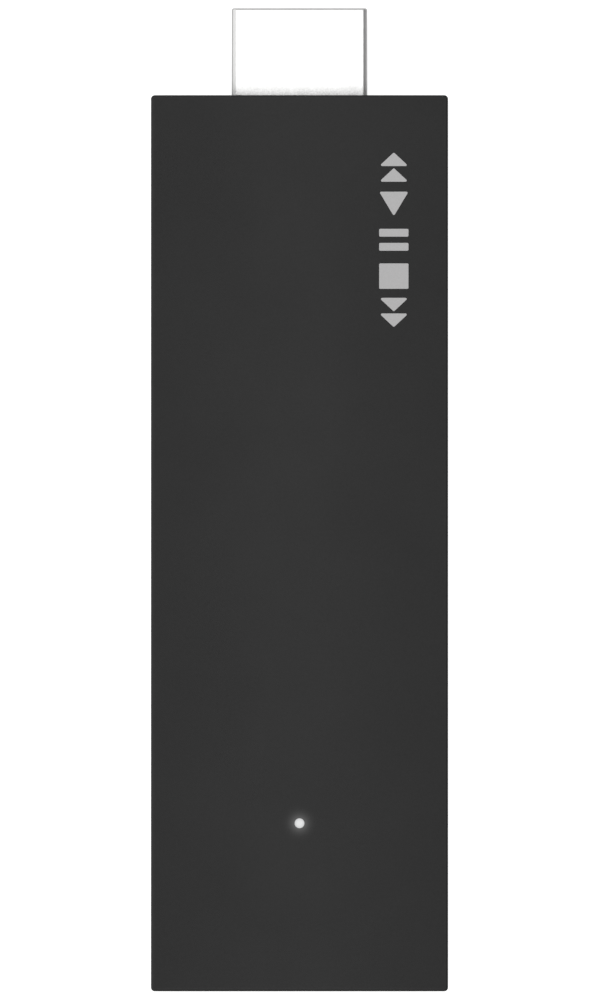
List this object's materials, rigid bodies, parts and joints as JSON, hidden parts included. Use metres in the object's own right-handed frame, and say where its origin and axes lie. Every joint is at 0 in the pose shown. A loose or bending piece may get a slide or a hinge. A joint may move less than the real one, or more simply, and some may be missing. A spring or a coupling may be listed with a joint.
{
  "type": "streaming media player",
  "caption": "Flat black streaming stick with an HDMI plug on one end, a micro-USB power inlet on the other, a status light and a flush side reset button.",
  "frame": {"origin": "centre of the bottom of the whole object, lying on its back: half way along X and along Y (plug included), on the plane of the back face", "axes": "+Z out of the front face, +Y out of the HDMI plug along the length, +X to the right seen from the front, towards the side with the reset button"},
  "size_m": [0.0304, 0.1006, 0.014],
  "materials": {
    "housing_plastic": "fine spark-eroded texture",
    "button_plastic": "smooth satin",
    "label_film": "satin film",
    "light_pipe": "clear polycarbonate",
    "led_body": "clear lens on a white base",
    "plug_nickel": "nickel-plated, fine rolling lines",
    "inlet_steel": "nickel-plated",
    "connector_plastic": "moulded, smooth",
    "contact_gold": "gold-plated",
    "circuit_board": "green solder mask",
    "module_board": "dark blue solder mask",
    "screw_steel": "zinc-plated",
    "chip_moulding": "moulded epoxy",
    "ferrite": "sintered",
    "capacitor_ceramic": "glazed",
    "solder_tin": "tinned",
    "resistor_film": "glass-coated",
    "can_steel": "drawn can",
    "shield_steel": "tin-plated sheet",
    "thermal_silicone": "soft, slightly tacky",
    "spreader_aluminium": "extruded and tumbled",
    "thermal_tape": "tape",
    "antenna_film": "polyimide film",
    "antenna_copper": "bare copper",
    "lead_jacket": "extruded jacket",
    "switch_plunger": "moulded nylon",
    "switch_steel": "stainless sheet"
  },
  "bodies": {
    "housing": {"antenna_lead_left": "lead_jacket", "antenna_lead_right": "lead_jacket", "antenna_left": "antenna_film", "antenna_plugs": "contact_gold", "antenna_radiators": "antenna_copper", "antenna_right": "antenna_film", "antenna_sockets": "contact_gold", "board_screws": "screw_steel", "buck_converters": "chip_moulding", "capacitor_bodies": "capacitor_ceramic", "capacitor_terminals": "solder_tin", "chip_resistors": "resistor_film", "crystal": "can_steel", "flash_chip": "chip_moulding", "flash_thermal_pad": "thermal_silicone", "front_cover": "housing_plastic", "front_gap_pad": "thermal_silicone", "front_heat_spreader": "spreader_aluminium", "front_shield_frame": "shield_steel", "front_shield_lid": "shield_steel", "front_spreader_tape": "thermal_tape", "hdmi_chokes": "ferrite", "hdmi_collar": "connector_plastic", "hdmi_contacts": "contact_gold", "hdmi_insulator": "connector_plastic", "hdmi_shell": "plug_nickel", "led_light_pipe": "light_pipe", "main_board": "circuit_board", "memory_chips": "chip_moulding", "power_inductors": "ferrite", "power_manager_chip": "chip_moulding", "processor": "chip_moulding", "processor_thermal_pad": "thermal_silicone", "rating_label": "label_film", "rear_cover": "housing_plastic", "rear_gap_pad": "thermal_silicone", "rear_heat_spreader": "spreader_aluminium", "rear_shield_frame": "shield_steel", "rear_shield_lid": "shield_steel", "rear_spreader_tape": "thermal_tape", "reset_switch_base": "connector_plastic", "reset_switch_cover": "switch_steel", "reset_switch_dome": "switch_steel", "status_led": "led_body", "usb_contacts": "contact_gold", "usb_insulator": "connector_plastic", "usb_shell": "inlet_steel", "wifi_module_board": "module_board", "wifi_module_can": "can_steel"},
    "button": {"reset_button": "button_plastic"},
    "plunger": {"reset_switch_plunger": "switch_plunger"}
  },
  "joints": [
    {"name": "button_press", "type": "slide", "parent": "housing", "child": "button", "axis": [-1, 0, 0], "range_m": [0, 0.00025], "stiffness_N_per_m": 6400},
    {"name": "plunger_press", "type": "slide", "parent": "housing", "child": "plunger", "axis": [-1, 0, 0], "range_m": [0, 0.00025], "deforming": ["reset_switch_dome"]}
  ],
  "couplings": [
    {"joint": "plunger_press", "follows": "button_press", "ratio": 1}
  ]
}
